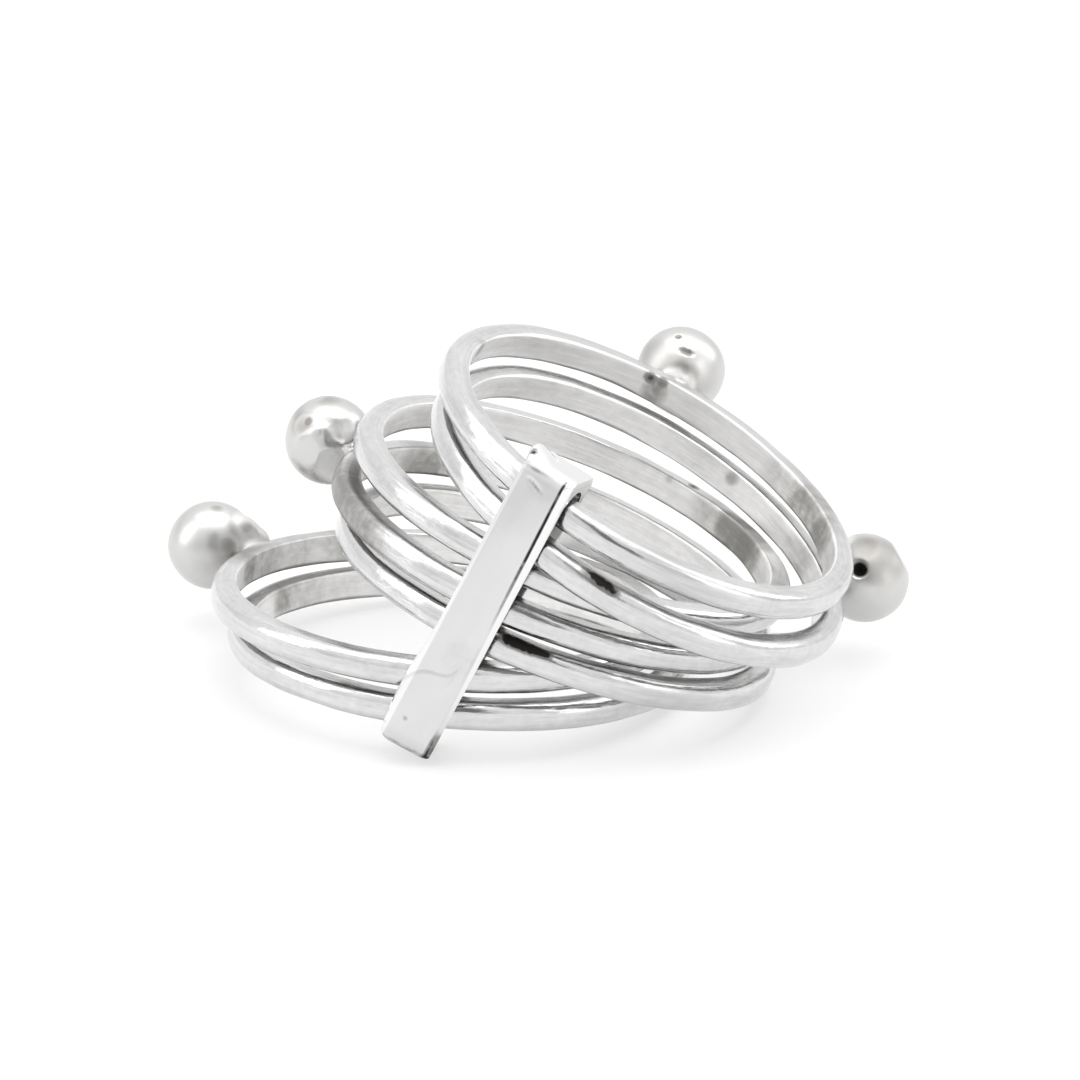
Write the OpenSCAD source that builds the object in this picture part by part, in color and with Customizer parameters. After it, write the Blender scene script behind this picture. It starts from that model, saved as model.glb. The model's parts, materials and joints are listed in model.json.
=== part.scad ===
// Multi-row ring: seven loose half-round bands threaded through one flat strip sleeve,
// lying on a surface as it comes to rest by itself. Four of the bands carry a soldered ball.
// Origin: middle of the footprint, on the surface. +Z up, the sleeve's face looks towards -Y.

/* [Bands] */
// Inside diameter of every band
inner_d = 18; // [17.9:0.05:18.1]
// Width of a band, along the finger
band_w = 1.3; // [1.1:0.05:1.3]
// Thickness of a band at the top of its dome
band_t = 1.1; // [1.0:0.05:1.1]

/* [Balls] */
// Diameter of a ball
ball_d = 3.85; // [3.4:0.05:3.9]
// Diameter of the solder collar between band and ball
collar_d = 1.3; // [1.1:0.1:1.6]

/* [Sleeve] */
// Length of the sleeve, along the finger
sleeve_l = 14.3; // [14.3:0.1:15.2]
// Width of the strip that the sleeve is folded from
strip_w = 2.4; // [2.0:0.1:2.4]
// Thickness of that strip
strip_t = 0.35; // [0.3:0.05:0.35]
// Outside depth of the folded sleeve, front to back
sleeve_d = 3.1; // [3.1:0.1:3.4]
// Outside radius of the folds at its two ends
fold_r = 0.9; // [0.5:0.1:1.0]
// Radius of the strip's corners, seen from the front
corner_r = 0.35; // [0.2:0.05:0.6]
// How far the sleeve twists from its lower to its upper end, in degrees
sleeve_twist = 16; // [14:1:18]

/* [Rest] */
// Middle of the sleeve, as it rests
sleeve_at = [-2.404, -10.032, 6.843]; // [-12:0.001:12]
// Tilt of the sleeve about X, then Y, then Z
sleeve_tilt = [-8.78, 26.05, -16.22]; // [-45:0.01:45]
// One row for each band, from the top. Columns: place along the sleeve from its middle, place inwards
// from its middle, then nod, lean and yaw about where it crosses the sleeve, then its ball: angle,
// how far it stands off the dome and how far above the middle of the band
bands = [
    [ 5.44,  0.01,  4.7,   2.7, -15.2, 113.8,  0.16,  0.15],
    [ 3.61, -0.27,  5.0,   4.1, -19.3,  59.6,  0.26,  0.12],
    [ 2.07,  0.28,  3.1,  -6.5,  -4.2, undef,  0.00,  0.00],
    [ 0.22, -0.06,  2.3,  -7.4,  -4.9, 171.4, -0.44, -0.09],
    [-1.34,  0.02,  3.2,  -8.0, -11.4, undef,  0.00,  0.00],
    [-3.63, -0.13, -2.1, -23.2,  14.1, 147.2,  0.00,  0.05],
    [-5.43, -0.19,  2.6, -23.9,   3.4, undef,  0.00,  0.00]
]; // seven rows

/* [Hidden] */
$fn = 96;
silver = [0.86, 0.86, 0.87];
inner_r = inner_d / 2;
dome_r = band_w / 2;
side_t = band_t - dome_r;
ball_r = ball_d / 2;
twist_slices = 8;
spare = 1;

// Columns of the table above
function place(i) = [0, bands[i][1], bands[i][0]];
function tilt(i) = [bands[i][2], bands[i][3], bands[i][4]];
function ball_angle(i) = bands[i][5];
function ball_off(i) = bands[i][6];
function ball_up(i) = bands[i][7];

// Puts the sleeve's own frame (X across the strip, Y inwards, Z along) where it rests
module at_sleeve() {
    translate(sleeve_at) rotate(sleeve_tilt) children();
}

// Puts a band's own frame, centred in the band with its axis along Z, where it rests
module at_band(i) {
    at_sleeve() translate(place(i)) rotate(tilt(i)) translate([0, inner_r + band_t / 2, 0]) children();
}

// Degrees that the sleeve turns over a stretch l of its length
function turn(l) = sleeve_twist * l / sleeve_l;

// A bar of w by d that turns with the sleeve over its length l
module twisted_bar(w, d, l) {
    rotate([0, 0, turn(l) / 2])
        linear_extrude(l, center = true, twist = turn(l), slices = twist_slices, segments = 4)
            square([w, d], center = true);
}

// What a radius r takes off the two upper corners of an outline w wide and l high
module corner_waste(w, l, r) {
    translate([0, l / 2 - r]) difference() {
        translate([-w / 2 - spare, 0]) square([w + 2 * spare, r + spare]);
        translate([r - w / 2, -spare]) square([w - 2 * r, r + spare]);
        for (side = [-1, 1]) translate([side * (w / 2 - r), 0]) circle(r, $fn = 48);
    }
}

// Rounds the two folds at the upper end of a bar
module fold_waste(w, d, l, r) {
    rotate([0, 0, -turn(l) / 2]) rotate([90, 0, 90])
        linear_extrude(w + spare, center = true) corner_waste(d, l, r);
}

// A twisted bar with the folds of both its ends rounded
module folded_bar(w, d, l, r) {
    difference() {
        twisted_bar(w, d, l);
        fold_waste(w, d, l, r);
        rotate([180, 0, 0]) fold_waste(w, d, l, r);
    }
}

// Rounds the corners of the strip at the upper end of the sleeve
module strip_waste() {
    rotate([0, 0, -sleeve_twist / 2]) rotate([90, 0, 0])
        linear_extrude(sleeve_d + spare, center = true) corner_waste(strip_w, sleeve_l, corner_r);
}

// The strip folded into a closed flat loop, a little twisted
module sleeve() {
    color(silver) at_sleeve() difference() {
        folded_bar(strip_w, sleeve_d, sleeve_l, fold_r);
        folded_bar(strip_w + 2 * spare, sleeve_d - 2 * strip_t, sleeve_l - 2 * strip_t, fold_r - strip_t);
        strip_waste();
        rotate([180, 0, 0]) strip_waste();
    }
}

// Half-round band: flat inside, straight low sides and a domed outside
module hoop() {
    rotate_extrude() {
        translate([inner_r, -dome_r]) square([side_t, band_w]);
        intersection() {
            translate([inner_r + side_t, 0]) circle(dome_r);
            translate([inner_r, -dome_r]) square([band_t, band_w]);
        }
    }
}

// Solid ball with its collar of solder, standing off the band at +X by `off` and up by `up`
module ball(off, up) {
    translate([inner_r + side_t, 0, up]) {
        rotate([0, 90, 0]) cylinder(h = dome_r + off + ball_r / 2, d = collar_d);
        translate([dome_r + off + ball_r, 0, 0]) sphere(ball_r);
    }
}

module band(i) {
    color(silver) at_band(i) {
        hoop();
        if (!is_undef(ball_angle(i))) rotate([0, 0, ball_angle(i)]) ball(ball_off(i), ball_up(i));
    }
}

sleeve();
band(0);  // band_1
band(1);  // band_2
band(2);  // band_3
band(3);  // band_4
band(4);  // band_5
band(5);  // band_6
band(6);  // band_7
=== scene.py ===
import json
import math
import bpy
from mathutils import Euler, Matrix, Vector

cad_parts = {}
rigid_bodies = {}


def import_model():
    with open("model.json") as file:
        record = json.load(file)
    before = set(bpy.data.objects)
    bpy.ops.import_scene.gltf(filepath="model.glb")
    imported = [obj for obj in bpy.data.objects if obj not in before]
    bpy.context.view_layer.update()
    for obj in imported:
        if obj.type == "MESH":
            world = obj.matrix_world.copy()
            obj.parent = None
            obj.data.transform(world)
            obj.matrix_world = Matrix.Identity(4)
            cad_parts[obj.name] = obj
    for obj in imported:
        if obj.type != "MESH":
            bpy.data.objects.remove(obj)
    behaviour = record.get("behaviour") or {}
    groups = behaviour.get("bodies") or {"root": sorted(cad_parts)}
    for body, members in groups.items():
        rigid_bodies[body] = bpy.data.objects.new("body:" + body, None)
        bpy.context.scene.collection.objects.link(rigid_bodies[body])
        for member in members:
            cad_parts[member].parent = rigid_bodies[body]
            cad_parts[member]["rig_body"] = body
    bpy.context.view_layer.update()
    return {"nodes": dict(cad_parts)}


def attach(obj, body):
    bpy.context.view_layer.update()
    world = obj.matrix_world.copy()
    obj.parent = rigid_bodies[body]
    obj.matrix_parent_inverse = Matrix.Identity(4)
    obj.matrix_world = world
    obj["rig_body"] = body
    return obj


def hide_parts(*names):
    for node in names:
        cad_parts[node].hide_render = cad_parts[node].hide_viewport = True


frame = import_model()
mm = 0.001
print("frame loaded")


# Camera

# A long lens from in front and a little above, aimed at the middle of the picture
cameraView = {
    "aim": (-0.0171 * mm, -9.0646 * mm, 9.474 * mm),
    "back": (-0.00593, -0.93677, 0.34982),
    "up": (-0.01877, 0.34985, 0.93664),
    "distance": 590.5 * mm,
    "frameWidth": 46.24 * mm,
    "sensor": 36.0,
    "clip": (0.01, 10),
}


def viewAxes():
    # Columns: to the right, up and towards the viewer
    back = Vector(cameraView["back"]).normalized()
    right = Vector(cameraView["up"]).cross(back).normalized()
    return Matrix((right, back.cross(right), back)).transposed()


def addCamera():
    back = Vector(cameraView["back"]).normalized()
    place = Vector(cameraView["aim"]) + back * cameraView["distance"]
    data = bpy.data.cameras.new("camera")
    data.sensor_width = cameraView["sensor"]
    data.lens = cameraView["sensor"] * cameraView["distance"] / cameraView["frameWidth"]
    data.clip_start, data.clip_end = cameraView["clip"]
    camera = bpy.data.objects.new("camera", data)
    camera.matrix_world = Matrix.Translation(place) @ viewAxes().to_4x4()
    bpy.context.scene.collection.objects.link(camera)
    bpy.context.scene.camera = camera


# Shader nodes

class Wire:
    # One output of a shader node, so that sums read as sums
    def __init__(self, tree, socket):
        self.tree, self.socket = tree, socket

    def math(self, operation, other=None):
        values = [self] if other is None else [self, other]
        return addNode(self.tree, "ShaderNodeMath", {"operation": operation}, values)

    def step(self, low, high, start=0.0, end=1.0):
        # A soft step from start to end as the value goes from low to high
        settings = {"interpolation_type": "SMOOTHSTEP"}
        values = {"Value": self, "From Min": low, "From Max": high, "To Min": start, "To Max": end}
        return addNode(self.tree, "ShaderNodeMapRange", settings, values)

    def part(self, letter):
        return addNode(self.tree, "ShaderNodeSeparateXYZ", {}, [self], letter)

    def noise(self, scale, detail, rough):
        # A scale for each axis stretches the pattern
        if isinstance(scale, tuple):
            settings = {"operation": "MULTIPLY"}
            stretched = addNode(self.tree, "ShaderNodeVectorMath", settings, [self, scale])
            return stretched.noise(1.0, detail, rough)
        values = {"Vector": self, "Scale": scale, "Detail": detail, "Roughness": rough}
        return addNode(self.tree, "ShaderNodeTexNoise", {}, values)

    def blend(self, other, share, kind="MIX"):
        settings = {"data_type": "RGBA", "blend_type": kind}
        return addNode(self.tree, "ShaderNodeMix", settings, {"Factor": share, "A": self, "B": other}, 2)

    def tones(self, low, high):
        # A colour that goes from low to high as the value goes from 0 to 1
        values = {"Factor": self, "A": (*low, 1), "B": (*high, 1)}
        return addNode(self.tree, "ShaderNodeMix", {"data_type": "RGBA"}, values, 2)

    def __add__(self, other):
        return self.math("ADD", other)

    def __sub__(self, other):
        return self.math("SUBTRACT", other)

    def __rsub__(self, other):
        return addNode(self.tree, "ShaderNodeMath", {"operation": "SUBTRACT"}, [other, self])

    def __mul__(self, other):
        return self.math("MULTIPLY", other)

    def __truediv__(self, other):
        return self.math("DIVIDE", other)


def addNode(tree, kind, settings, values, output=0):
    # The stops of a colour ramp are places and grey tones
    node = tree.nodes.new(kind)
    for key, value in settings.items():
        if key == "stops":
            ramp = node.color_ramp
            while len(ramp.elements) < len(value):
                ramp.elements.new(0.5)
            for element, (position, tone) in zip(ramp.elements, value):
                element.position = position
                element.color = (tone, tone, tone, 1)
        else:
            setattr(node, key, value)
    pairs = values.items() if isinstance(values, dict) else enumerate(values)
    for key, value in pairs:
        if isinstance(value, Wire):
            tree.links.new(value.socket, node.inputs[key])
        else:
            node.inputs[key].default_value = value
    return Wire(tree, node.outputs[output])


def weighted(weights, **layers):
    # The base and, on top of it, each layer times its own weight
    total = weights["base"]
    for name, layer in layers.items():
        total = layer * weights[name] + total
    return total


# Studio

studio = {
    "floorSize": 3.0,
    "floorTone": 0.34,
    "floorRough": 0.7,
    "floorGlow": 0.6,
    "worldTone": 1.25,
}

# Place, size and power of each softbox, which faces the origin
softboxes = {
    "softboxTop": ((0.0, 0.05, 0.6), (0.7, 0.5), 1.65),
    "softboxLeft": ((-0.55, -0.05, 0.3), (0.35, 0.5), 0.72),
    "softboxRight": ((0.5, 0.2, 0.35), (0.3, 0.4), 0.5),
    "softboxEdge": ((0.5, -0.23, 0.18), (0.26, 0.36), 0.3),
}

# A light tent, a little dimmer low and in front, and dark round the camera. Heights are sines of the angle
# above the horizon, depths run from 0 in front to 1 behind, and sides are tangents of the angle from the
# middle of the front
tent = {
    "byHeight": [(0.0, 0.86), (0.15, 0.8), (0.5, 0.92), (0.9, 1.0)],
    "byDepth": [(0.0, 0.9), (0.5, 0.97), (1.0, 1.0)],
    "darkShare": 0.78,
    "darkSlant": 0.09,
    "darkSides": (0.2, 0.3, 1.0, 0.0),
    "darkFoot": (0.1, 0.2),
    "darkTop": (0.75, 0.88, 1.0, 0.0),
}


def addSoftbox(name, place, size, power):
    data = bpy.data.lights.new(name, "AREA")
    data.shape = "RECTANGLE"
    data.size, data.size_y = size
    data.energy = power
    lamp = bpy.data.objects.new(name, data)
    lamp.location = place
    lamp.rotation_euler = Vector(place).to_track_quat("Z", "Y").to_euler()
    bpy.context.scene.collection.objects.link(lamp)


def addWorld():
    world = bpy.data.worlds.new("studio")
    bpy.context.scene.world = world
    world.use_nodes = True
    tree = world.node_tree
    tree.nodes.clear()
    way = addNode(tree, "ShaderNodeTexCoord", {}, [], "Generated")
    across, behind, height = (way.part(letter) for letter in "XYZ")
    tone = addNode(tree, "ShaderNodeValToRGB", {"stops": tent["byHeight"]}, [height])
    depth = addNode(tree, "ShaderNodeValToRGB", {"stops": tent["byDepth"]}, [behind * 0.5 + 0.5])
    side = ((across + behind * tent["darkSlant"]) / (behind * -1)).math("ABSOLUTE")
    dark = side.step(*tent["darkSides"]) * height.step(*tent["darkFoot"])
    dark = dark * height.step(*tent["darkTop"]) * behind.math("LESS_THAN", 0.0)
    tone = tone.blend(depth, 1.0, "MULTIPLY").blend(1 - dark * tent["darkShare"], 1.0, "MULTIPLY")
    values = {"Color": tone, "Strength": studio["worldTone"]}
    sky = addNode(tree, "ShaderNodeBackground", {}, values)
    out = tree.nodes.new("ShaderNodeOutputWorld")
    tree.links.new(sky.socket, out.inputs["Surface"])


def addFloor():
    bpy.ops.object.select_all(action="DESELECT")
    bpy.ops.mesh.primitive_plane_add(size=studio["floorSize"])
    floor = bpy.context.object
    floor.name = "floor"
    paint = bpy.data.materials.new("paleFloor")
    paint.use_nodes = True
    shader = paint.node_tree.nodes["Principled BSDF"]
    shader.inputs["Base Color"].default_value = (*[studio["floorTone"]] * 3, 1)
    shader.inputs["Roughness"].default_value = studio["floorRough"]
    # A pale table lit a little from below keeps the shadows soft
    shader.inputs["Emission Color"].default_value = (1, 1, 1, 1)
    shader.inputs["Emission Strength"].default_value = studio["floorGlow"]
    floor.data.materials.append(paint)


addCamera()
addWorld()
addFloor()
for name, softbox in softboxes.items():
    addSoftbox(name, *softbox)
bpy.context.scene.view_settings.view_transform = "Standard"
print("studio ready")


# Silver

silverForm = {
    "face": (0.66, 0.66, 0.663),
    # The insides are much lighter than the faces: painted light that makes up for the shade inside the loops
    "inside": (0.9, 0.896, 0.885),
    # The lower side of each band gets a dark colour: painted shade for the gaps between the bands
    "lowSide": (0.3, 0.29, 0.28),
    "ball": (0.6, 0.597, 0.585),
    "solder": (0.74, 0.738, 0.73),
    "sleeve": (0.675, 0.675, 0.675),
    "sleeveEdge": (0.84, 0.84, 0.84),
    # The tarnish and soot colours also paint the painted shade and painted dark reflections that the stain
    # mark carries
    "tarnish": (0.2, 0.187, 0.174),
    "soot": (0.025, 0.024, 0.023),
    "tarnishDepth": (0.1, 1.0, 0.0, 0.8),
    "sootDepth": (1.2, 1.9),
    "stainGrain": {"base": 0.0, "grit": 0.8, "blotch": 0.7},
    "bump": 0.02 * mm,
}

# The scale of each noise, per metre or, with one for each axis of the lay, per millimetre, then its detail
# and roughness
noises = {
    "streak": ((0.25, 3.0, 3.0), 4.0, 0.6),
    "fine": ((1.0, 8.0, 8.0), 2.0, 0.6),
    "sleeveStreak": ((1.6, 0.3, 1.6), 4.0, 0.55),
    "blotch": (420.0, 3.0, 0.55),
    "sleeveBlotch": (300.0, 3.0, 0.55),
    "grit": (2600.0, 3.0, 0.55),
    "hammer": (900.0, 2.0, 0.5),
}

# Zones are steps of the lay across the band or out from its inside. Tone, rough and relief weigh the layers
bandFinish = {
    "contrast": (0.25, 0.75),
    "insideZone": (0.03, 0.12, 1.0, 0.0),
    "ballZone": (1.1, 1.25),
    "solderZone": (0.0, 0.6),
    "lowSideZone": (0.55, 0.7),
    "lowSideEdge": 0.16,
    "sideZone": (0.58, 0.64),
    "ballGrit": (0.5, 0.5, 0.5, 1),
    "tone": {"base": 0.66, "blotch": 0.2, "streak": 0.14, "fine": 0.08, "grit": 0.2, "ball": 0.24},
    "rough": {"base": 0.07, "inside": 0.2, "ball": 0.16, "solder": 0.12, "side": 0.1, "stain": 0.16,
              "blotch": 0.08, "streak": 0.08},
    "relief": {"base": 0.0, "streak": 0.8, "fine": 0.4, "grit": 0.5, "hammer": 0.9},
    "strength": 0.5,
}


def newPaint(name):
    paint = bpy.data.materials.new(name)
    paint.use_nodes = True
    return paint, paint.node_tree


def readMark(tree, mark, output="Fac"):
    return addNode(tree, "ShaderNodeAttribute", {"attribute_name": mark}, [], output)


def finishSilver(tree, tone, rough, relief, strength, stain):
    # Tarnish comes over the clean tone, and soot where it is deepest. The same mark also carries painted
    # shade and painted dark reflections, and there these two colours paint that shade.
    tone = tone.blend((*silverForm["tarnish"], 1), stain.step(*silverForm["tarnishDepth"]))
    tone = tone.blend((*silverForm["soot"], 1), stain.step(*silverForm["sootDepth"]))
    shader = tree.nodes["Principled BSDF"]
    tree.links.new(tone.socket, shader.inputs["Base Color"])
    tree.links.new(rough.socket, shader.inputs["Roughness"])
    shader.inputs["Metallic"].default_value = 1.0
    values = {"Strength": strength, "Distance": silverForm["bump"], "Height": relief}
    bump = addNode(tree, "ShaderNodeBump", {}, values)
    tree.links.new(bump.socket, shader.inputs["Normal"])


def addBandSilver(name):
    # The attribute "lay" runs along the band, across it and out from its inside, in millimetres
    paint, tree = newPaint(name)
    place = addNode(tree, "ShaderNodeTexCoord", {}, [], "Object")
    lay, stain = readMark(tree, "lay", "Vector"), readMark(tree, "stain")
    across, out = lay.part("Y"), lay.part("Z")
    streak = lay.noise(*noises["streak"]).step(*bandFinish["contrast"])
    fine = lay.noise(*noises["fine"]).step(*bandFinish["contrast"])
    blotch = place.noise(*noises["blotch"])
    grit = place.noise(*noises["grit"])
    hammer = place.noise(*noises["hammer"])
    solder = readMark(tree, "solder").step(*bandFinish["solderZone"])
    inside = out.step(*bandFinish["insideZone"])
    ball = out.step(*bandFinish["ballZone"]).math("MAXIMUM", solder)
    plain = 1 - ball
    side = across.math("ABSOLUTE").step(*bandFinish["sideZone"]) * plain
    # The lower side of each band is painted dark, as painted shade in the gaps between bands
    lowSide = (across * -1 + streak * bandFinish["lowSideEdge"]).step(*bandFinish["lowSideZone"]) * plain
    # The lighter inside tone is painted light, standing in for light that the insides lack
    tone = inside.tones(silverForm["face"], silverForm["inside"])
    for key, zone in (("lowSide", lowSide), ("ball", ball), ("solder", solder)):
        tone = tone.blend((*silverForm[key], 1), zone)
    # The streaks and the grit are on the plain band, and the blotches are on the balls as well
    shade = weighted(bandFinish["tone"], blotch=blotch, streak=streak * plain, fine=fine * plain,
                     grit=grit * plain, ball=ball)
    tone = tone.blend(shade, 1.0, "MULTIPLY")
    rough = weighted(bandFinish["rough"], inside=inside, ball=ball, solder=solder, side=side, stain=stain,
                     blotch=blotch, streak=streak)
    relief = weighted(bandFinish["relief"], streak=streak * plain, fine=fine * plain, grit=grit * plain,
                      hammer=hammer * (inside + stain * plain))
    grit = grit.blend(bandFinish["ballGrit"], ball)
    grain = weighted(silverForm["stainGrain"], grit=grit, blotch=blotch)
    finishSilver(tree, tone, rough, relief, bandFinish["strength"], stain * grain)
    return paint


# Modelling helpers

# Points nearer to each other than this lie together
near = 0.0001 * mm


def alone(piece):
    if bpy.context.mode != "OBJECT":
        bpy.ops.object.mode_set(mode="OBJECT")
    bpy.ops.object.select_all(action="DESELECT")
    piece.select_set(True)
    bpy.context.view_layer.objects.active = piece


def both(test):
    # Turns a test of one place into a test that both ends of an edge have to pass
    return lambda start, end: test(start) and test(end)


def pick(piece, kind, test):
    # Selects in edit mode the points, or the edges, that pass a test of their place or of their two ends
    alone(piece)
    bpy.ops.object.mode_set(mode="EDIT")
    bpy.ops.mesh.select_mode(type=kind)
    bpy.ops.mesh.select_all(action="DESELECT")
    bpy.ops.object.mode_set(mode="OBJECT")
    points = piece.data.vertices
    if kind == "VERT":
        for point in points:
            point.select = test(point.co)
    else:
        for edge in piece.data.edges:
            edge.select = test(*(points[i].co for i in edge.vertices))
    bpy.ops.object.mode_set(mode="EDIT")


def settle(piece):
    # Puts the object at the origin, its place in its mesh
    alone(piece)
    bpy.ops.object.transform_apply(location=True, rotation=True, scale=True)


def applyModifier(piece, kind, **settings):
    alone(piece)
    modifier = piece.modifiers.new(kind, kind)
    for key, value in settings.items():
        setattr(modifier, key, value)
    bpy.ops.object.modifier_apply(modifier=modifier.name)


def join(piece, other, operation="UNION"):
    applyModifier(piece, "BOOLEAN", operation=operation, solver="EXACT", object=other)
    bpy.data.objects.remove(other)


def roughen(piece, grain, depth):
    # Lets the surface waver as a hand-finished one does
    texture = bpy.data.textures.new("waver", "CLOUDS")
    texture.noise_scale = grain
    texture.noise_depth = 1
    applyModifier(piece, "DISPLACE", texture=texture, strength=depth, mid_level=0.5, texture_coords="LOCAL")


def smoothRound(piece, spots, times):
    # Evens out the surface near each spot, which is a place and its reach
    pick(piece, "VERT", lambda p: any((p - spot).length < reach for spot, reach in spots))
    bpy.ops.mesh.vertices_smooth(factor=0.5, repeat=times)
    bpy.ops.object.mode_set(mode="OBJECT")


def dent(piece, place, way, reach, depth):
    # Presses the surface in round a place, or out where the depth is below nothing
    for point in piece.data.vertices:
        share = (point.co - place).length / reach
        if share < 1:
            point.co += way * depth * (1 - share * share) ** 1.5


def ease(share):
    share = min(max(share, 0), 1)
    return share * share * (3 - 2 * share)


def turned(angles):
    return Euler([math.radians(a) for a in angles]).to_matrix().to_4x4()


def strengthAt(point, spots):
    # The sum of the spots near a point, each of which fades out at its reach
    return sum(share * max(0, 1 - ((point - spot).length / reach) ** 2) for spot, reach, share in spots)


def markSurface(piece, place, layOf, **marks):
    # Notes where each point lies on its own piece, and how strong each mark is there
    back = place.inverted()
    own = [back @ point.co for point in piece.data.vertices]
    lay = [value for spot in own for value in layOf(spot)]
    piece.data.attributes.new("lay", "FLOAT_VECTOR", "POINT").data.foreach_set("vector", lay)
    for mark, spots in marks.items():
        amounts = [strengthAt(point, spots) for point in own]
        piece.data.attributes.new(mark, "FLOAT", "POINT").data.foreach_set("value", amounts)


def finishPiece(piece, node, paint, angle):
    # Edges that turn by more than the angle stay sharp
    piece.data.materials.clear()
    piece.data.materials.append(paint)
    alone(piece)
    bpy.ops.object.shade_smooth_by_angle(angle=math.radians(angle))
    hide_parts(node)
    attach(piece, frame["nodes"][node]["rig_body"])


# Sleeve

sleeveForm = {
    "length": 14.3 * mm,
    "width": 2.4 * mm,
    "depth": 3.1 * mm,
    "thick": 0.35 * mm,
    "upperFold": 0.72 * mm,
    "lowerFold": 0.9 * mm,
    "innerUpperFold": 1.19 * mm,
    "innerLowerFold": 0.95 * mm,
    "upperWall": 0.3 * mm,
    "foldSegments": 14,
    "innerSegments": 16,
    "upperCorner": 0.35 * mm,
    "lowerCorner": 0.85 * mm,
    "sharpCorner": 0.16 * mm,
    "cornerSegments": 8,
    "chamfer": 0.25 * mm,
    "chamferGain": 0.0126,
    "chamferEdge": 0.08 * mm,
    "chamferSegments": 4,
    "leftChamfer": 0.16 * mm,
    "leftEnd": 0.81 * mm,
    "leftSegments": 2,
    "nearFiled": 0.01 * mm,
    "nearLeft": 0.024 * mm,
    "nearFront": 0.03 * mm,
    "rim": 0.07 * mm,
    "rimAngle": 35,
    "rimSegments": 3,
    "rows": 150,
    "columns": 28,
    "layers": 20,
    "twist": 16,
    "at": (-2.404 * mm, -10.032 * mm, 6.843 * mm),
    "tilt": (-8.78, 26.05, -16.22),
    "waver": (4 * mm, 0.05 * mm),
    "smoothAngle": 30,
}

# The sleeve is wider towards its foot, and a crease crosses its face there, with the face fuller below.
# Depth is how far in from the front the shaping goes
faceForm = {
    "depth": 0.315 * mm,
    "flare": 0.2 * mm,
    "flareAt": -4.4 * mm,
    "flareReach": 2.2 * mm,
    "crease": -3.1 * mm,
    "creaseSlope": 0.25,
    "creaseHook": 4.4,
    "hookEnd": 0.6,
    "creaseDrop": 0.3,
    "creaseDepth": 0.022 * mm,
    "creaseWidth": 0.12 * mm,
    "creaseEnd": 0.3,
    "creaseFade": 0.4,
    "swell": 0.045 * mm,
    "swellReach": 1.7 * mm,
}

# Marks on the sleeve in millimetres: across from its middle, up from its middle and in from its face, then
# the reach and the depth of a dent or the strength of a stain. The last dent is pushed out against lobeWay,
# as a lobe at the left end of the upper fold. A row of the scratch has its place across and up, the depth of
# its dent and the strength of its stain
sleeveMarks = {
    "dents": [(0.0, 6.6, 0, 0.9, 0.03), (-0.52, -5.67, 0, 0.2, 0.025), (-1.2, 7.0, 1.2, 1.1, -0.5)],
    "lobeWay": (0.6, 0, -0.8),
    "stains": [(-0.52, -5.67, 0, 0.17, 0.9), (0.1, 6.55, 0, 0.8, 0.3), (0.2, -2.2, 0, 1.3, 0.4),
               (-1.15, 7.27, 0.5, 0.22, 3.0)],
    "scratch": [(-0.62, 6.27, 0.03, 0.7), (-0.44, 6.21, 0.03, 0.8), (-0.26, 6.14, 0.03, 0.9),
                (-0.08, 6.08, 0.025, 0.8), (0.1, 6.01, 0.015, 0.5)],
    "scratchReach": 0.17,
    "scratchStainReach": 0.13,
}

# Zones are steps of the lay across the sleeve, up it or inwards, in millimetres from its middle, or of how
# far a place lies right of the filed edge
sleeveFinish = {
    "frontZone": (-1.3, -1.2, 1.0, 0.0),
    "lineLeft": (-0.17, -0.08),
    "lineRight": (-0.03, 0.03),
    "lineGrows": (-1.0, 3.5, 0.2, 2.2),
    "line": {"base": 0.8, "streak": 0.6},
    "filedZone": (0.0, 0.04),
    "filedFades": (-6.0, -3.0),
    "leftZone": (-1.1, -1.0, 1.0, 0.0),
    "foldZone": (6.72, 6.88),
    # The foot and its right corner are darkened as painted shadow near the floor
    "footStain": (-7.0, -6.6, 2.04, 0.0),
    "cornerStain": (-6.2, -5.2, 4.4, 0.0),
    "cornerZone": (-0.25, 0.0),
    "blotchSpread": 0.05,
    "tone": {"base": 0.95, "streak": 0.1},
    "rough": {"base": 0.09, "blotch": 0.08, "streak": 0.06},
    "relief": {"base": 0.0, "streak": 0.8, "grit": 0.2},
    "strength": 0.3,
}


def sleevePlace():
    return Matrix.Translation(sleeveForm["at"]) @ turned(sleeveForm["tilt"])


def faceSpot(across, up, behind):
    return Vector((across * mm, behind * mm - sleeveForm["depth"] / 2, up * mm))


def scratchMarks(reach, column):
    # The scratch as marks on the face, of one reach and with the amounts of one of its columns
    return [(*row[:2], 0, reach, row[column]) for row in sleeveMarks["scratch"]]


def addBlock(size, along, upper, lower, segments):
    # A box with its four edges along one axis rounded, the upper two by another radius than the lower two
    bpy.ops.object.select_all(action="DESELECT")
    bpy.ops.mesh.primitive_cube_add(size=1)
    block = bpy.context.object
    block.scale = size
    settle(block)
    others = [i for i in range(3) if i != along]
    for side, radius in ((1, upper), (-1, lower)):
        pick(block, "EDGE", lambda a, b: min(a.z * side, b.z * side) > 0
             and all(abs(a[i] - b[i]) < size[i] / 2 for i in others))
        bpy.ops.mesh.bevel(offset=radius, segments=segments, affect="EDGES")
    bpy.ops.object.mode_set(mode="OBJECT")
    return block


def cutAcross(piece, axis, length, count):
    # Divides the whole piece by evenly spaced planes across one axis
    alone(piece)
    bpy.ops.object.mode_set(mode="EDIT")
    way = [float(i == axis) for i in range(3)]
    for k in range(1, count):
        level = (k / count - 0.5) * length
        bpy.ops.mesh.select_all(action="SELECT")
        bpy.ops.mesh.bisect(plane_co=[v * level for v in way], plane_no=way, threshold=near)
    bpy.ops.object.mode_set(mode="OBJECT")


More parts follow.
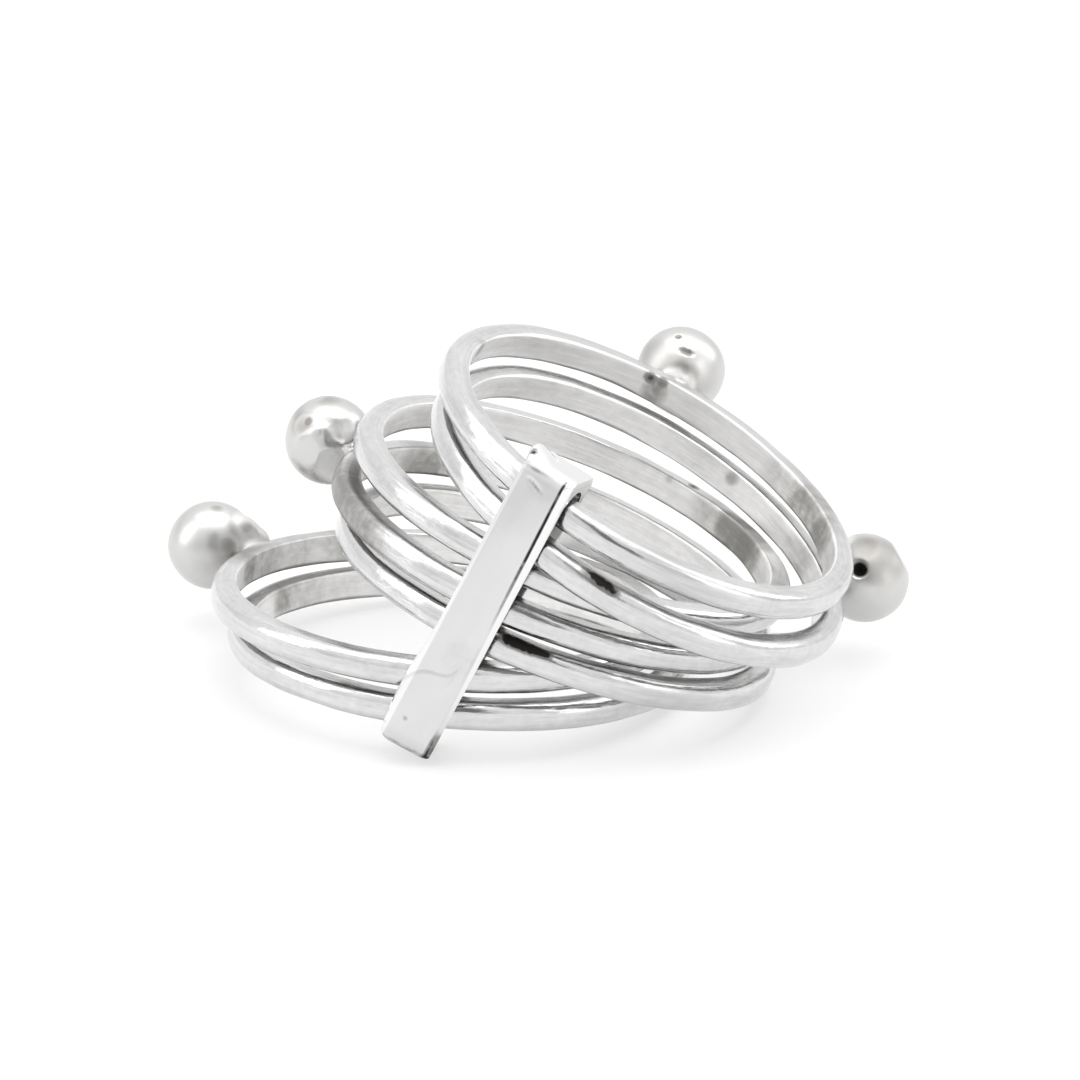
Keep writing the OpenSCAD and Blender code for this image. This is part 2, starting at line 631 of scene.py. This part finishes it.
def creaseLevel(x):
    # The crease climbs towards the right edge and drops at the left one
    right, left = max(x, 0), max(-x, 0)
    hook = faceForm["creaseHook"] * min(right, faceForm["hookEnd"]) ** 3
    return faceForm["crease"] + (faceForm["creaseSlope"] * x + hook - faceForm["creaseDrop"] * left ** 4) * mm


def shapeFace(piece):
    inside = faceForm["depth"] - sleeveForm["depth"] / 2
    for point in piece.data.vertices:
        x, y, z = point.co
        wide = math.exp(-((z - faceForm["flareAt"]) / faceForm["flareReach"]) ** 2) * faceForm["flare"]
        point.co.x -= wide * (0.5 - x / sleeveForm["width"])
        if y > inside:
            continue
        below = creaseLevel(x / mm) - z
        end = 1 - ease((max(x / mm, 0) - faceForm["creaseEnd"]) / faceForm["creaseFade"])
        groove = faceForm["creaseDepth"] * math.exp(-(below / faceForm["creaseWidth"]) ** 2) * end
        point.co.y += groove - faceForm["swell"] * ease(below / faceForm["swellReach"])
    for *spot, reach, depth in scratchMarks(sleeveMarks["scratchReach"], 2) + sleeveMarks["dents"]:
        way = Vector((0, 1, 0)) if spot[2] == 0 else Vector(sleeveMarks["lobeWay"])
        dent(piece, faceSpot(*spot), way, reach * mm, depth * mm)


def addSleeve():
    width, depth, length = sleeveForm["width"], sleeveForm["depth"], sleeveForm["length"]
    wall, sharp = sleeveForm["upperWall"], sleeveForm["sharpCorner"]
    piece = addBlock((width, depth, length), 0, sleeveForm["upperFold"], sleeveForm["lowerFold"],
                     sleeveForm["foldSegments"])
    piece.name = "strip_sleeve"
    # The corners on the right are sharper than those on the left
    corners = addBlock((width + sharp, depth * 2, length), 1, sleeveForm["upperCorner"],
                       sleeveForm["lowerCorner"], sleeveForm["cornerSegments"])
    corners.location.x = sharp / 2
    settle(corners)
    join(piece, corners, "INTERSECT")
    inner = (width * 2, depth - 2 * sleeveForm["thick"], length - 2 * sleeveForm["thick"] - wall)
    hollow = addBlock(inner, 0, sleeveForm["innerUpperFold"], sleeveForm["innerLowerFold"],
                      sleeveForm["innerSegments"])
    hollow.location.z = -wall / 2
    settle(hollow)
    join(piece, hollow, "DIFFERENCE")
    fileEdges(piece)
    cutAcross(piece, 2, length, sleeveForm["rows"])
    cutAcross(piece, 0, width, sleeveForm["columns"])
    cutAcross(piece, 1, depth, sleeveForm["layers"])
    shapeFace(piece)
    marks = scratchMarks(sleeveMarks["scratchStainReach"], 3) + sleeveMarks["stains"]
    stains = [(faceSpot(*spot), reach * mm, share) for *spot, reach, share in marks]
    markSurface(piece, Matrix(), lambda p: (p.x / mm, p.z / mm, p.y / mm), stain=stains)
    applyModifier(piece, "SIMPLE_DEFORM", deform_method="TWIST", deform_axis="Z",
                  angle=math.radians(-sleeveForm["twist"]))
    roughen(piece, *sleeveForm["waver"])
    piece.matrix_world = sleevePlace()
    settle(piece)
    return piece


def fileEdges(piece):
    # The right front edge is filed off, more towards the top, the left one is broken, and all rims are soft.
    # The near sizes say how close to an edge or to the front a point counts as on it
    width, depth, gain = sleeveForm["width"], sleeveForm["depth"], sleeveForm["chamferGain"]
    filed, close = width / 2 - sleeveForm["chamfer"], sleeveForm["nearFiled"]
    left, front = sleeveForm["nearLeft"] - width / 2, sleeveForm["nearFront"] - depth / 2
    reach = sleeveForm["length"] / 2 - sleeveForm["leftEnd"]
    alone(piece)
    bpy.ops.object.mode_set(mode="EDIT")
    bpy.ops.mesh.select_all(action="SELECT")
    bpy.ops.mesh.bisect(plane_co=(filed, -depth / 2, 0), plane_no=(1, -1, gain), use_fill=True,
                        clear_outer=True)
    pick(piece, "EDGE", both(lambda p: abs(p.x - filed + p.z * gain) < close and p.y < front))
    bpy.ops.mesh.bevel(offset=sleeveForm["chamferEdge"], segments=sleeveForm["chamferSegments"],
                       affect="EDGES")
    pick(piece, "EDGE", both(lambda p: p.x < left and p.y < front and abs(p.z) < reach))
    bpy.ops.mesh.bevel(offset=sleeveForm["leftChamfer"], segments=sleeveForm["leftSegments"], affect="EDGES")
    bpy.ops.object.mode_set(mode="OBJECT")
    applyModifier(piece, "BEVEL", width=sleeveForm["rim"], segments=sleeveForm["rimSegments"],
                  limit_method="ANGLE", angle_limit=math.radians(sleeveForm["rimAngle"]))


def addSleeveSilver(name):
    # Here the lay runs across the sleeve, up it and inwards
    paint, tree = newPaint(name)
    place = addNode(tree, "ShaderNodeTexCoord", {}, [], "Object")
    lay, stain = readMark(tree, "lay", "Vector"), readMark(tree, "stain")
    streak = lay.noise(*noises["sleeveStreak"])
    blotch = place.noise(*noises["sleeveBlotch"])
    grit = place.noise(*noises["grit"])
    spread = sleeveFinish["blotchSpread"]
    low, high = ([v * share for v in silverForm["sleeve"]] for share in (1 - spread, 1 + spread))
    tone = blotch.tones(low, high).blend(weighted(sleeveFinish["tone"], streak=streak), 1.0, "MULTIPLY")
    # The edges and the upper fold are bright, and filed is how far a place lies right of the filed edge
    across, up, depth = lay.part("X"), lay.part("Y"), lay.part("Z")
    filed = across + up * sleeveForm["chamferGain"] + (sleeveForm["chamfer"] - sleeveForm["width"] / 2) / mm
    front = depth.step(*sleeveFinish["frontZone"])
    edge = filed.step(*sleeveFinish["filedZone"]) * up.step(*sleeveFinish["filedFades"])
    edge = (edge + across.step(*sleeveFinish["leftZone"])) * front
    edge = edge.math("MAXIMUM", up.step(*sleeveFinish["foldZone"]))
    tone = tone.blend((*silverForm["sleeveEdge"], 1), edge)
    # A dark line runs beside the filed edge; the foot gets a painted contact shadow and its right corner
    # painted shade
    line = filed.step(*sleeveFinish["lineLeft"]) - filed.step(*sleeveFinish["lineRight"])
    line = line * front * up.step(*sleeveFinish["lineGrows"])
    corner = up.step(*sleeveFinish["cornerStain"]) * filed.step(*sleeveFinish["cornerZone"])
    stain = stain + line * weighted(sleeveFinish["line"], streak=streak)
    stain = stain + up.step(*sleeveFinish["footStain"]) * grit + corner * streak
    rough = weighted(sleeveFinish["rough"], blotch=blotch, streak=streak)
    relief = weighted(sleeveFinish["relief"], streak=streak, grit=grit)
    grain = weighted(silverForm["stainGrain"], grit=grit, blotch=blotch)
    finishSilver(tree, tone, rough, relief, sleeveFinish["strength"], stain * grain)
    return paint


sleeve = addSleeve()
finishPiece(sleeve, "sleeve", addSleeveSilver("sleeveSilver"), sleeveForm["smoothAngle"])
print("sleeve made", len(sleeve.data.polygons))


# Bands

bandForm = {
    "innerRadius": 9 * mm,
    "width": 1.3 * mm,
    "thick": 1.1 * mm,
    "shoulder": 0.57 * mm,
    "shoulderFullness": 0.57,
    "shoulderSegments": 10,
    "innerEdge": 0.12 * mm,
    "innerEdgeSegments": 3,
    "innerCuts": 9,
    "sideCuts": 3,
    "steps": 400,
    "neckFlow": 1.0 * mm,
    "neckSmoothing": 15,
    "wavers": [(3 * mm, 0.08 * mm), (0.9 * mm, 0.015 * mm)],
    "smoothAngle": 60,
}

# Columns: along the sleeve, inwards, nod, lean and yaw, then the ball's angle, stand off and rise
bandRows = {
    "band_1": (5.44, 0.01, 4.7, 2.7, -15.2, 113.8, 0.16, 0.15),
    "band_2": (3.61, -0.27, 5.0, 4.1, -19.3, 59.6, 0.26, 0.12),
    "band_3": (2.07, 0.28, 3.1, -6.5, -4.2, None, 0, 0),
    "band_4": (0.22, -0.06, 2.3, -7.4, -4.9, 171.4, -0.44, -0.09),
    "band_5": (-1.34, 0.02, 3.2, -8.0, -11.4, None, 0, 0),
    "band_6": (-3.63, -0.13, -2.1, -23.2, 14.1, 147.2, 0, 0.05),
    "band_7": (-5.43, -0.19, 2.6, -23.9, 3.4, None, 0, 0),
}

# Tarnish on the insides: angle round the band, height above its middle and reach in millimetres, strength.
# The broad ones, reaching 3.5 mm and more, are painted shade that darkens whole stretches of a band
innerStainsAndShade = {
    "band_1": [(118.9, -0.1, 0.7, 0.75), (121.9, 0.42, 0.32, 1.8), (118.2, 0.5, 0.3, 1.2), (84, 0, 1.6, 0.4),
               (72, 0, 1.7, 0.7), (58, 0.2, 1.9, 1.0), (45, -0.2, 1.5, 1.0), (190, 0.3, 0.7, 0.9),
               (125, 0, 6, 0.4)],
    "band_2": [(96, 0.3, 0.5, 0.9), (76, 0, 1.5, 0.5), (62, 0, 1.6, 0.7)],
    "band_3": [(64, 0.2, 1.6, 0.7), (50, 0.2, 1.7, 1.3), (40, 0, 1.5, 1.1), (79, 0.5, 0.3, 0.9)],
    "band_4": [(152, -0.2, 1.8, 0.9), (140, -0.3, 1.6, 0.6)],
    "band_5": [(107, -0.2, 1.5, 0.4)],
    "band_6": [(160, 0.1, 0.9, 0.45), (150, 0, 3.5, 0.75), (118, 0, 3.5, 0.75)],
    "band_7": [(160, 0.1, 0.9, 0.45), (150, 0, 3.5, 0.65), (118, 0, 3.5, 0.6)],
}

# The same on the outsides, with the distance out from the inside before the height. The rows of small ones
# are the dark wedges where bands come out of the sleeve: painted dark reflections of the sleeve. The small
# one on band_3 is a painted contact shadow where band_2 meets it
outerStainsAndShade = {
    "band_1": [(-50, 1.1, 0, 4, 0.45)],
    "band_2": [(-71, 0.8, 0.6, 0.35, 1.0), (-69, 0.8, 0.6, 0.4, 1.5), (-67, 0.82, 0.6, 0.45, 2.0),
               (-65, 0.85, 0.58, 0.45, 2.2), (-63, 0.9, 0.56, 0.4, 2.2), (-61.5, 0.94, 0.52, 0.3, 1.8)],
    # A painted contact shadow where band_2 meets band_3
    "band_3": [(72.5, 0.4, 0.62, 0.3, 2.2)],
    "band_4": [(-81, 0.93, 0.52, 0.36, 1.0), (-79, 0.92, 0.52, 0.34, 0.9), (-77, 0.9, 0.54, 0.32, 0.8),
               (-75, 0.88, 0.56, 0.3, 0.6), (-135, 1.1, 0, 4, 1.1), (-160, 1.1, 0, 3, 1.1)],
    "band_5": [(-80, 0.93, 0.53, 0.4, 2.2), (-78, 0.93, 0.53, 0.44, 2.4), (-76, 0.92, 0.53, 0.44, 2.4),
               (-74, 0.92, 0.53, 0.44, 2.4), (-72, 0.92, 0.52, 0.4, 2.4), (-70, 0.92, 0.51, 0.34, 2.2),
               (-68.3, 0.93, 0.5, 0.28, 1.8), (-35, 1.1, 0, 3.5, 0.5)],
}


def bandPlace(row):
    along, inwards, *tilt = row[:5]
    middle = bandForm["innerRadius"] + bandForm["thick"] / 2
    return (sleevePlace() @ Matrix.Translation((0, inwards * mm, along * mm)) @ turned(tilt)
            @ Matrix.Translation((0, middle, 0)))


def bandSpot(angle, out, height):
    turn, reach = math.radians(angle), bandForm["innerRadius"] + out * mm
    return Vector((reach * math.cos(turn), reach * math.sin(turn), height * mm))


def bandLay(own):
    # The seam of the pattern is where the band crosses the sleeve
    turn = (math.atan2(own.y, own.x) + math.pi / 2) % math.tau
    return (turn * bandForm["innerRadius"] / mm, own.z / mm, (own.xy.length - bandForm["innerRadius"]) / mm)


def addHoop():
    inner, thick, width = bandForm["innerRadius"], bandForm["thick"], bandForm["width"]
    bpy.ops.object.select_all(action="DESELECT")
    bpy.ops.mesh.primitive_plane_add(size=1, location=(inner + thick / 2, 0, 0), rotation=(math.pi / 2, 0, 0))
    piece = bpy.context.object
    piece.scale = (thick, width, 1)
    settle(piece)
    pick(piece, "VERT", lambda p: p.x > inner + thick / 2)
    bpy.ops.mesh.bevel(offset=bandForm["shoulder"], segments=bandForm["shoulderSegments"],
                       profile=bandForm["shoulderFullness"], affect="VERTICES")
    pick(piece, "VERT", lambda p: p.x < inner + near)
    bpy.ops.mesh.bevel(offset=bandForm["innerEdge"], segments=bandForm["innerEdgeSegments"], profile=0.5,
                       affect="VERTICES")
    bpy.ops.mesh.select_all(action="SELECT")
    bpy.ops.mesh.delete(type="ONLY_FACE")
    # The straight stretches of the outline are divided, so that small marks can lie on them
    pick(piece, "EDGE", both(lambda p: p.x < inner + near))
    bpy.ops.mesh.subdivide(number_cuts=bandForm["innerCuts"])
    pick(piece, "EDGE", both(lambda p: abs(p.z) > width / 2 - near))
    bpy.ops.mesh.subdivide(number_cuts=bandForm["sideCuts"])
    bpy.ops.mesh.select_all(action="SELECT")
    bpy.ops.mesh.spin(steps=bandForm["steps"], angle=math.tau, center=(0, 0, 0), axis=(0, 0, 1),
                      use_auto_merge=True)
    bpy.ops.mesh.select_all(action="SELECT")
    bpy.ops.mesh.remove_doubles(threshold=near)
    bpy.ops.mesh.normals_make_consistent(inside=False)
    bpy.ops.object.mode_set(mode="OBJECT")
    return piece


# Balls

# The collar starts at collarRoot of the band's thickness and ends collarTop of the ball's radius inside the
# ball. Lumps and collar melt over meltReach of their radii. Marks lie at markDepth of the ball's radius, and
# the tarnish in a dent at pitDepth of its depth, over pitReach of its reach
ballForm = {
    "radius": 1.95 * mm,
    "detail": 6,
    "lumpDetail": 4,
    "collar": 0.65 * mm,
    "collarSides": 48,
    "collarRoot": 0.45,
    "collarTop": 0.4,
    "voxel": 0.055 * mm,
    "smoothing": 5,
    "melting": 120,
    "meltReach": 1.5,
    "markDepth": 0.97,
    "pitDepth": 0.6,
    "pitReach": 0.9,
}

# Places on a ball are across, up and towards the viewer from its middle, in ball radii. Each flat gives
# the way that it faces and how far out it lies, and each lump of solder its place and radius. Dents and
# stains lie on the near side: each gives its place, its reach in millimetres and its depth or strength,
# and a dent may have tarnish in it. The stains at the dents are tarnish; the others are painted shade and
# painted dark reflections on the ball's facets and flanks
ballDetails = {
    "band_1": {
        "flats": [(-0.55, 0.45, 0.7, 0.96), (0.6, 0.15, 0.78, 0.985), (0.1, -0.55, 0.83, 0.97),
                  (0.1, 0.2, -0.97, 0.96)],
        "lumps": [(-0.2, -0.75, -0.45, 0.3), (0.1, -0.85, -0.35, 0.3)],
        "dents": [(-0.07, 0.76, 0.18, 0.08), (0.0, 0.44, 0.22, 0.06), (0.12, 0.4, 0.22, 0.08),
                  (0.24, 0.36, 0.18, 0.05), (0.05, 0.53, 0.18, -0.04), (0.18, 0.47, 0.16, -0.04)],
        "stains": [(-0.07, 0.76, 0.2, 1.2), (0.03, 0.43, 0.2, 0.9), (0.16, 0.39, 0.22, 1.3),
                   (-0.72, 0.4, 0.9, 0.35), (-0.05, 0.02, 0.5, 0.5), (0.2, -0.05, 0.5, 0.4),
                   (0.62, -0.2, 0.8, 0.3)],
    },
    "band_2": {
        "flats": [(0.86, 0.5, 0.1, 0.875), (0.3, 0.5, 0.8, 0.955), (0.2, -0.35, 0.92, 0.94),
                  (-0.5, -0.4, 0.77, 0.965), (0.78, -0.62, 0.1, 0.955), (0, -1, 0.1, 0.97),
                  (0.3, 0.2, -0.93, 0.96)],
        "lumps": [(-0.5, 0.62, 0.2, 0.32), (-0.78, 0.45, 0.1, 0.36), (-0.85, 0.2, 0.1, 0.35)],
        "dents": [(-0.15, 0.2, 0.46, 0.34, 3.6)],
        "stains": [(-0.2, 0.25, 0.5, 0.7), (-0.04, 0.16, 0.25, 1.2), (-0.2, 0.75, 1.0, 0.6),
                   (0.4, 0.5, 1.6, 0.9), (0.15, -0.45, 1.4, 0.25)],
    },
    "band_4": {
        "flats": [(-0.51, -0.24, 0.83, 0.9), (0.05, -0.52, 0.85, 0.89), (-0.61, 0.36, 0.7, 0.92),
                  (-0.7, 0.68, 0.25, 0.95), (0.0, 0.9, 0.43, 0.95), (-0.08, 0.6, 0.79, 0.945),
                  (0.35, 0.2, 0.91, 0.905), (-0.45, -0.85, 0.25, 0.95), (0.3, 0.2, -0.93, 0.95)],
        "lumps": [(0.66, -0.3, 0.55, 0.16)],
        "dents": [(-0.47, 0.43, 0.42, 0.03), (-0.3, 0.42, 0.42, 0.03), (-0.13, 0.44, 0.42, 0.03),
                  (0.03, 0.4, 0.42, 0.03), (0.14, 0.3, 0.42, 0.03), (0.08, 0.14, 0.42, 0.03),
                  (0.12, -0.02, 0.42, 0.03), (-0.31, 0.2, 0.35, -0.04), (0.3, -0.13, 0.3, -0.03),
                  (-0.3, 0.93, 0.5, 0.14)],
        "stains": [(-0.62, 0.36, 0.85, 0.8), (-0.7, 0.66, 0.6, 0.6), (0.0, 0.9, 0.75, 0.9),
                   (-0.47, 0.43, 0.25, 0.7), (0.1, 0.4, 0.3, 0.4), (-0.45, -0.85, 0.5, 0.5)],
    },
    "band_6": {
        "flats": [(0.08, 0.84, 0.54, 0.965), (0.72, 0.42, 0.55, 0.93), (0.2, 0.2, -0.96, 0.96)],
        "lumps": [(0.72, 0.36, 0.36, 0.34), (0.98, 0.08, 0.22, 0.36), (0.85, -0.1, 0.25, 0.4)],
        "dents": [(0.36, -0.03, 0.4, 0.03)],
        "stains": [(0.1, 0.84, 0.4, 0.8), (0.74, 0.42, 0.45, 0.6), (0.4, -0.04, 0.45, 0.5),
                   (-0.86, 0.1, 1.0, 0.25), (-0.35, 0.05, 0.5, 0.25), (-0.3, -0.45, 0.8, 0.2)],
    },
}


def nearWay(across, up):
    # The way to a place on the near side, in the scene's axes
    return viewAxes() @ Vector((across, up, math.sqrt(max(0, 1 - across * across - up * up))))


def addBead(place, radius, detail):
    bpy.ops.object.select_all(action="DESELECT")
    bpy.ops.mesh.primitive_ico_sphere_add(subdivisions=detail, radius=radius, location=place)
    bead = bpy.context.object
    settle(bead)
    return bead


def addCollar(place, length):
    bpy.ops.object.select_all(action="DESELECT")
    bpy.ops.mesh.primitive_cylinder_add(vertices=ballForm["collarSides"], radius=ballForm["collar"],
                                        depth=length)
    collar = bpy.context.object
    collar.matrix_world = place @ Matrix.Rotation(math.pi / 2, 4, "Y")
    settle(collar)
    return collar


def cutFlats(ball, middle, flats):
    bpy.ops.object.mode_set(mode="EDIT")
    for *way, share in flats:
        way = viewAxes() @ Vector(way).normalized()
        flat = middle + way * ballForm["radius"] * share
        bpy.ops.mesh.select_all(action="SELECT")
        bpy.ops.mesh.bisect(plane_co=flat, plane_no=way, use_fill=True, clear_outer=True)
    bpy.ops.object.mode_set(mode="OBJECT")


def addBall(row, details):
    # A solid ball with its flats, on its collar of solder, melted into one lump
    angle, off, rise = row[5:]
    spoke = bandPlace(row) @ Matrix.Rotation(math.radians(angle), 4, "Z")
    radius, axes = ballForm["radius"], viewAxes()
    root = bandForm["innerRadius"] + bandForm["thick"] * ballForm["collarRoot"]
    top = bandForm["innerRadius"] + bandForm["thick"] + off * mm
    middle = spoke @ Vector((top + radius, 0, rise * mm))
    ball = addBead(middle, radius, ballForm["detail"])
    cutFlats(ball, middle, details["flats"])
    length = top - root + radius * ballForm["collarTop"]
    collar = addCollar(spoke @ Matrix.Translation((root + length / 2, 0, rise * mm)), length)
    lumps = [(middle + axes @ Vector(place) * radius, size * radius) for *place, size in details["lumps"]]
    beads = [addBead(place, size, ballForm["lumpDetail"]) for place, size in lumps]
    alone(ball)
    for part in [collar] + beads:
        part.select_set(True)
    bpy.ops.object.join()
    applyModifier(ball, "REMESH", mode="VOXEL", voxel_size=ballForm["voxel"])
    applyModifier(ball, "SMOOTH", factor=0.5, iterations=ballForm["smoothing"])
    # The solder flows into the ball
    melted = [(place, size * ballForm["meltReach"]) for place, size in lumps]
    melted.append((spoke @ Vector((top, 0, rise * mm)), ballForm["collar"] * ballForm["meltReach"]))
    smoothRound(ball, melted, ballForm["melting"])
    level = radius * ballForm["markDepth"]
    # Stains away from the dents paint shade and dark reflections onto the ball
    stains = [(middle + nearWay(across, up) * level, reach * mm, share)
              for across, up, reach, share in details["stains"]]
    for across, up, reach, depth, *tarnish in details["dents"]:
        way = nearWay(across, up)
        dent(ball, middle + way * level, -way, reach * mm, depth * mm)
        pit = middle + way * (level - depth * mm * ballForm["pitDepth"])
        stains += [(pit, reach * mm * ballForm["pitReach"], share) for share in tarnish]
    return ball, stains, melted


def addBand(name, row, hoop):
    piece = hoop.copy()
    piece.data = hoop.data.copy()
    piece.name = "loop_" + name
    bpy.context.scene.collection.objects.link(piece)
    place = bandPlace(row)
    piece.matrix_world = place
    settle(piece)
    marks, melted = [], []
    if name in ballDetails:
        ball, marks, melted = addBall(row, ballDetails[name])
        join(piece, ball)
        # The collar flows into the dome
        smoothRound(piece, [(melted[-1][0], bandForm["neckFlow"])], bandForm["neckSmoothing"])
    for waver in bandForm["wavers"]:
        roughen(piece, *waver)
    spots = [(angle, 0, height, reach, share) for angle, height, reach, share in innerStainsAndShade[name]]
    spots += outerStainsAndShade.get(name, [])
    stains = [(bandSpot(*spot), reach * mm, share) for *spot, reach, share in spots]
    back = place.inverted()
    stains += [(back @ spot, reach, share) for spot, reach, share in marks]
    solder = [(back @ spot, reach, 1) for spot, reach in melted]
    markSurface(piece, place, bandLay, stain=stains, solder=solder)
    return piece


bandSilver = addBandSilver("bandSilver")
hoop = addHoop()
for name, row in bandRows.items():
    piece = addBand(name, row, hoop)
    finishPiece(piece, name, bandSilver, bandForm["smoothAngle"])
    print(piece.name, "made", len(piece.data.polygons))
bpy.data.objects.remove(hoop)

print("all pieces ride")
